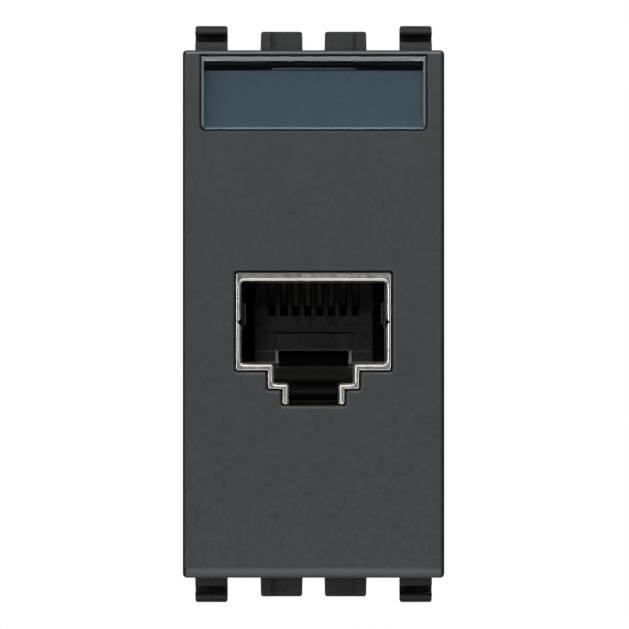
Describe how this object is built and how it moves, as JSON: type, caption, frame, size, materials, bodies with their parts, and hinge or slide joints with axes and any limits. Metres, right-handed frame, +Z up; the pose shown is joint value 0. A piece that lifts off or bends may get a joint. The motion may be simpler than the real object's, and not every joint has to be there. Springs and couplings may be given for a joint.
{
  "type": "ethernet socket",
  "caption": "Modular shielded data socket with a dark face, stepped port, label window, snap claws and a rear wiring door.",
  "frame": {"origin": "middle of the face of the carrier that seats on the supporting frame, at half the face's height", "axes": "+Z up and +X right as seen from the front, +Y into the wall"},
  "size_m": [0.0222, 0.0301, 0.0492],
  "materials": {
    "cover_plastic": "fine matte anthracite",
    "carrier_plastic": "dark matte",
    "smoked_clear": "clear, smoked blue-grey",
    "card": "dark blue-grey card",
    "plated_shell": "satin nickel plating",
    "housing_plastic": "black, satin",
    "gold_wire": "gold plating",
    "spring_steel": "plated spring strip",
    "board": "green solder resist",
    "block_plastic": "dark grey",
    "tin_blade": "tin plating",
    "cap_plastic": "off-white",
    "pin_steel": "plain steel"
  },
  "bodies": {
    "socket": {"front_cover": "cover_plastic", "label_card": "card", "carrier": "carrier_plastic", "shield_shell": "plated_shell", "jack_housing": "housing_plastic", "circuit_board": "board", "idc_block": "block_plastic", "wire_cap": "cap_plastic", "hinge_pin": "pin_steel", "idc_1": "tin_blade", "idc_2": "tin_blade", "idc_3": "tin_blade", "idc_4": "tin_blade", "idc_5": "tin_blade", "idc_6": "tin_blade", "idc_7": "tin_blade", "idc_8": "tin_blade"},
    "label_window_body": {"label_window": "smoked_clear"},
    "rear_door_body": {"rear_door": "plated_shell"},
    "ground_spring_left_body": {"ground_spring_left": "spring_steel"},
    "ground_spring_right_body": {"ground_spring_right": "spring_steel"},
    "contact_1_body": {"contact_1": "gold_wire"},
    "contact_2_body": {"contact_2": "gold_wire"},
    "contact_3_body": {"contact_3": "gold_wire"},
    "contact_4_body": {"contact_4": "gold_wire"},
    "contact_5_body": {"contact_5": "gold_wire"},
    "contact_6_body": {"contact_6": "gold_wire"},
    "contact_7_body": {"contact_7": "gold_wire"},
    "contact_8_body": {"contact_8": "gold_wire"}
  },
  "joints": [
    {"name": "window_lift", "type": "slide", "parent": "socket", "child": "label_window_body", "axis": [0, -1, 0], "range_m": [0, 0.012]},
    {"name": "door_swing", "type": "hinge", "parent": "socket", "child": "rear_door_body", "pos_m": [0, 0.0146, 0.00745], "axis": [1, 0, 0], "range_deg": [0, 110]},
    {"name": "contact_1_flex", "type": "hinge", "parent": "socket", "child": "contact_1_body", "pos_m": [-0.00356, 0.00705, 0.00363], "axis": [-1, 0, 0], "range_deg": [0, 3.5], "stiffness_Nm_per_rad": 0.1},
    {"name": "contact_2_flex", "type": "hinge", "parent": "socket", "child": "contact_2_body", "pos_m": [-0.00254, 0.00705, 0.00483], "axis": [-1, 0, 0], "range_deg": [0, 3.5], "stiffness_Nm_per_rad": 0.1},
    {"name": "contact_3_flex", "type": "hinge", "parent": "socket", "child": "contact_3_body", "pos_m": [-0.00152, 0.00705, 0.00363], "axis": [-1, 0, 0], "range_deg": [0, 3.5], "stiffness_Nm_per_rad": 0.1},
    {"name": "contact_4_flex", "type": "hinge", "parent": "socket", "child": "contact_4_body", "pos_m": [-0.00051, 0.00705, 0.00483], "axis": [-1, 0, 0], "range_deg": [0, 3.5], "stiffness_Nm_per_rad": 0.1},
    {"name": "contact_5_flex", "type": "hinge", "parent": "socket", "child": "contact_5_body", "pos_m": [0.00051, 0.00705, 0.00363], "axis": [-1, 0, 0], "range_deg": [0, 3.5], "stiffness_Nm_per_rad": 0.1},
    {"name": "contact_6_flex", "type": "hinge", "parent": "socket", "child": "contact_6_body", "pos_m": [0.00152, 0.00705, 0.00483], "axis": [-1, 0, 0], "range_deg": [0, 3.5], "stiffness_Nm_per_rad": 0.1},
    {"name": "contact_7_flex", "type": "hinge", "parent": "socket", "child": "contact_7_body", "pos_m": [0.00254, 0.00705, 0.00363], "axis": [-1, 0, 0], "range_deg": [0, 3.5], "stiffness_Nm_per_rad": 0.1},
    {"name": "contact_8_flex", "type": "hinge", "parent": "socket", "child": "contact_8_body", "pos_m": [0.00356, 0.00705, 0.00483], "axis": [-1, 0, 0], "range_deg": [0, 3.5], "stiffness_Nm_per_rad": 0.1},
    {"name": "ground_spring_right_flex", "type": "hinge", "parent": "socket", "child": "ground_spring_right_body", "pos_m": [0.0067, 0.0062, 0], "axis": [0, 0, 1], "range_deg": [0, 2], "stiffness_Nm_per_rad": 0.05},
    {"name": "ground_spring_left_flex", "type": "hinge", "parent": "socket", "child": "ground_spring_left_body", "pos_m": [-0.0067, 0.0062, 0], "axis": [0, 0, -1], "range_deg": [0, 2], "stiffness_Nm_per_rad": 0.05}
  ]
}
